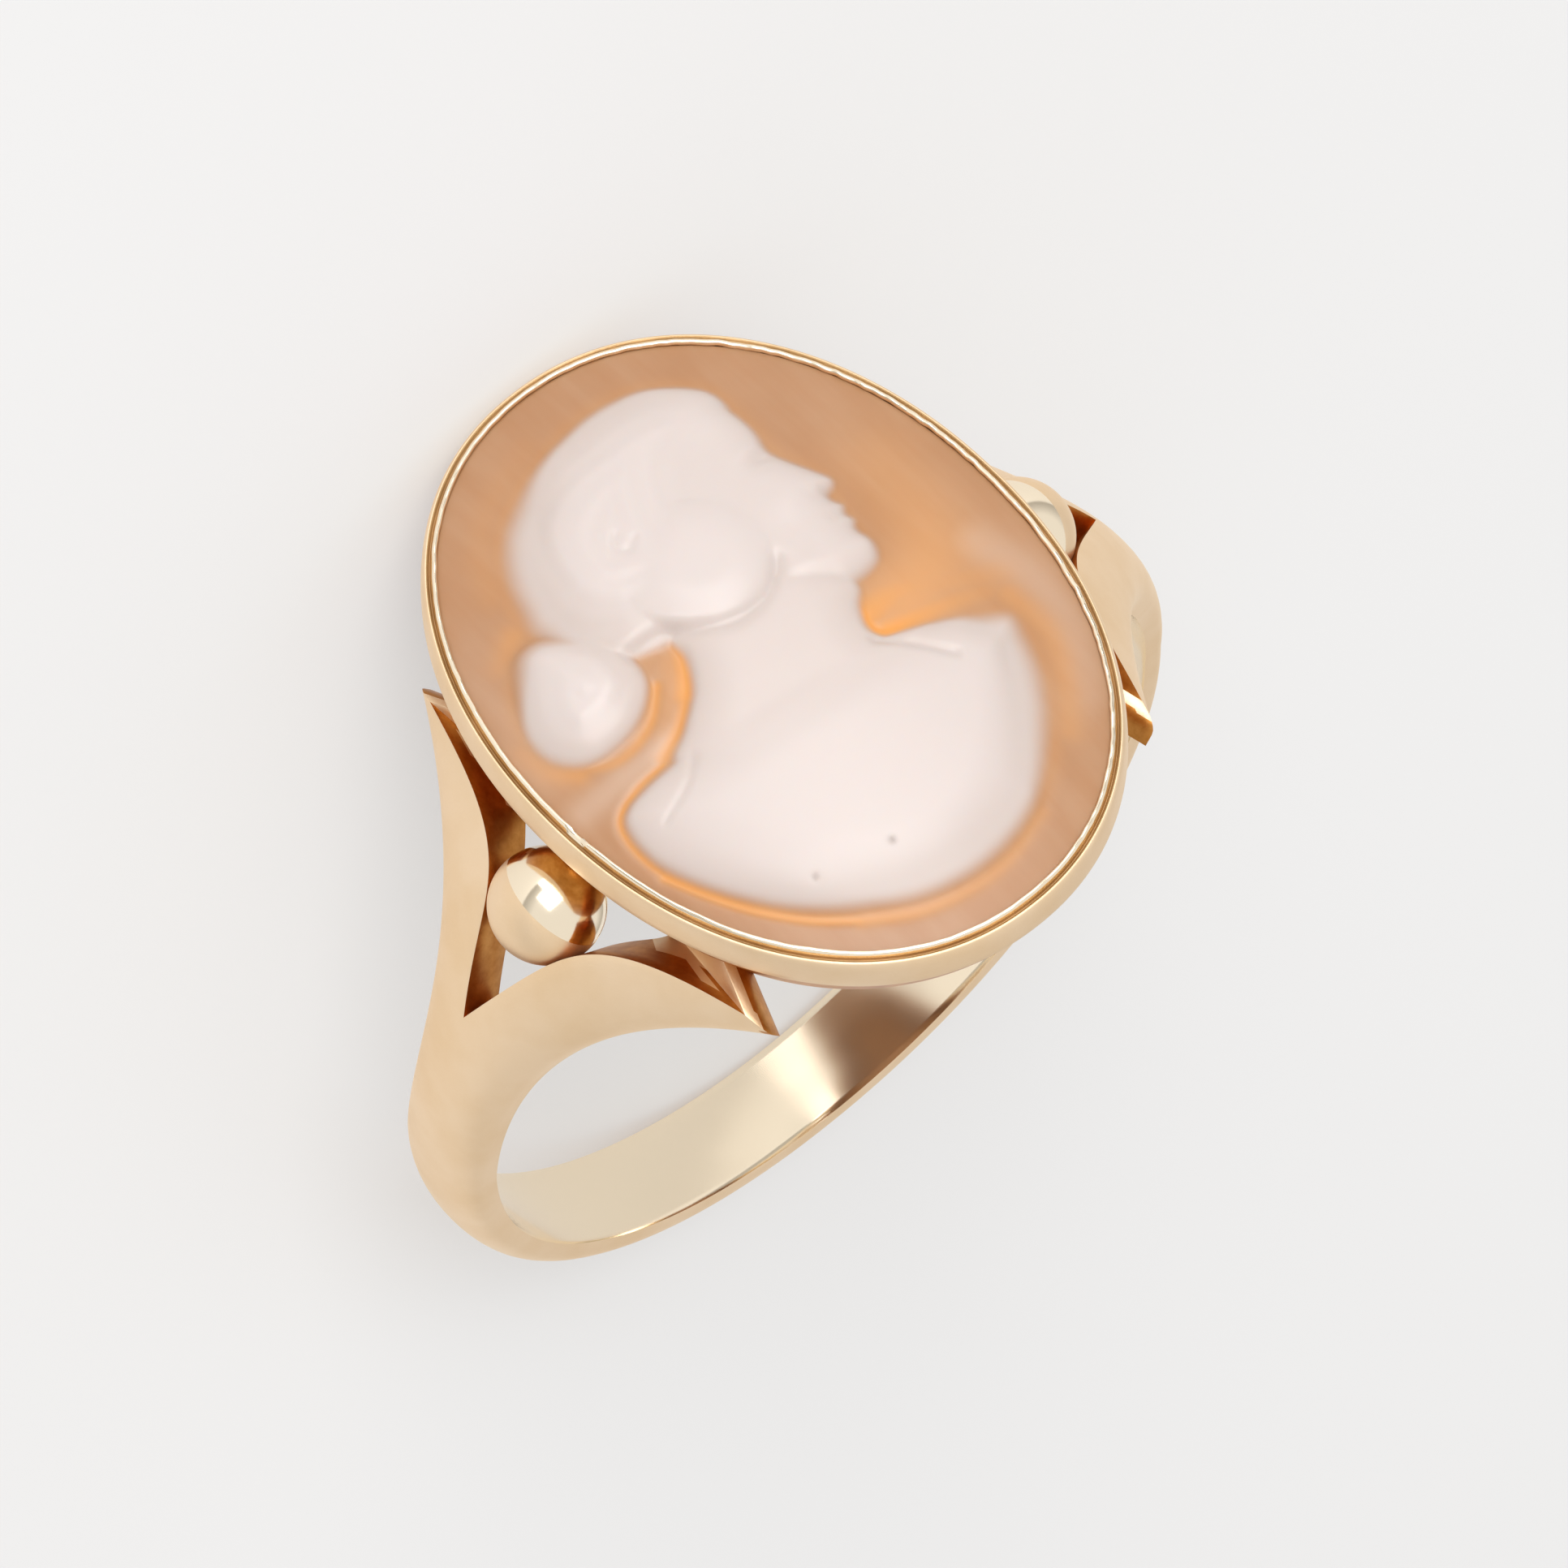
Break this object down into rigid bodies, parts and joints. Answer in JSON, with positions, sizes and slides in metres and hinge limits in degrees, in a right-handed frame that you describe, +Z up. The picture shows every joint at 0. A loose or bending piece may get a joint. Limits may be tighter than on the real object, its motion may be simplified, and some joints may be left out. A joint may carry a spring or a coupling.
{
  "type": "cameo ring",
  "caption": "Finger ring lying on its side: a shank with forked shoulders and small beads carries a tapered oval collet that holds a carved shell cameo.",
  "frame": {"origin": "centre of the bounding box's base, where the ring rests on the ground", "axes": "+X across the shoulders, +Y towards the side where the cameo stands, +Z up; the ring lies on its side, so the finger's axis leans about 21 degrees from Z towards -Y"},
  "size_m": [0.019, 0.021, 0.0148],
  "materials": {
    "gold": "satin outside, polished inside",
    "shell": "softly polished"
  },
  "bodies": {
    "root": {"ring_mount": "gold", "cameo": "shell"}
  },
  "joints": []
}
